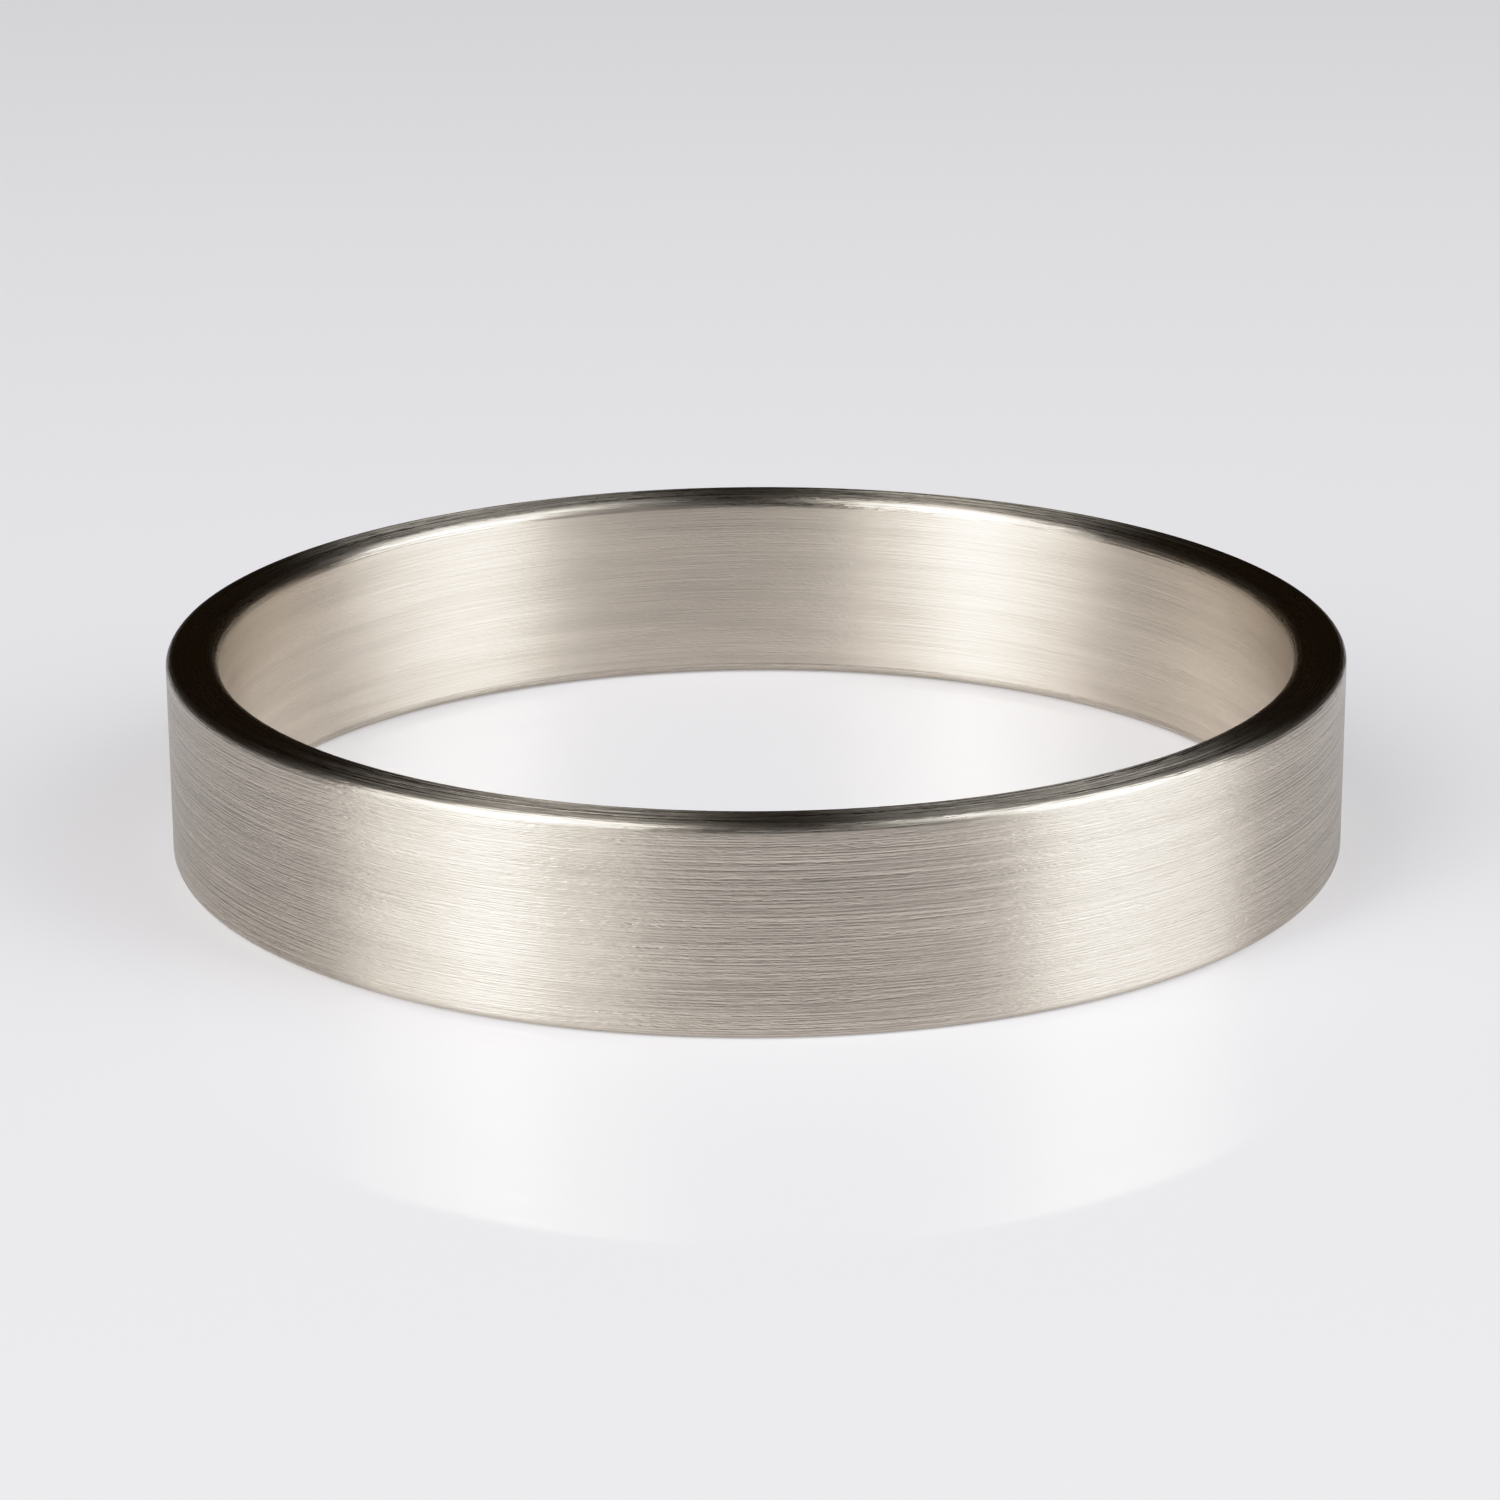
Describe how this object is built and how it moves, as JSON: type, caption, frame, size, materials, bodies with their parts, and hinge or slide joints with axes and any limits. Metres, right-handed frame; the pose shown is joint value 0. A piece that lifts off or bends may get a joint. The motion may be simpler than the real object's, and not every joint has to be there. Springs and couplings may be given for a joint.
{
  "type": "wedding band",
  "caption": "Plain flat wedding band with softened edges and a brushed satin finish, worn on a finger.",
  "frame": {"origin": "centre of the bore, in the plane of the lower edge face that the band lies on", "axes": "+Z along the bore axis, from the lower edge face to the upper one; X and Y are free, because the band is round"},
  "size_m": [0.0203, 0.0202, 0.0035],
  "materials": {
    "band_metal": "satin"
  },
  "bodies": {
    "root": {"band": "band_metal"}
  },
  "joints": []
}
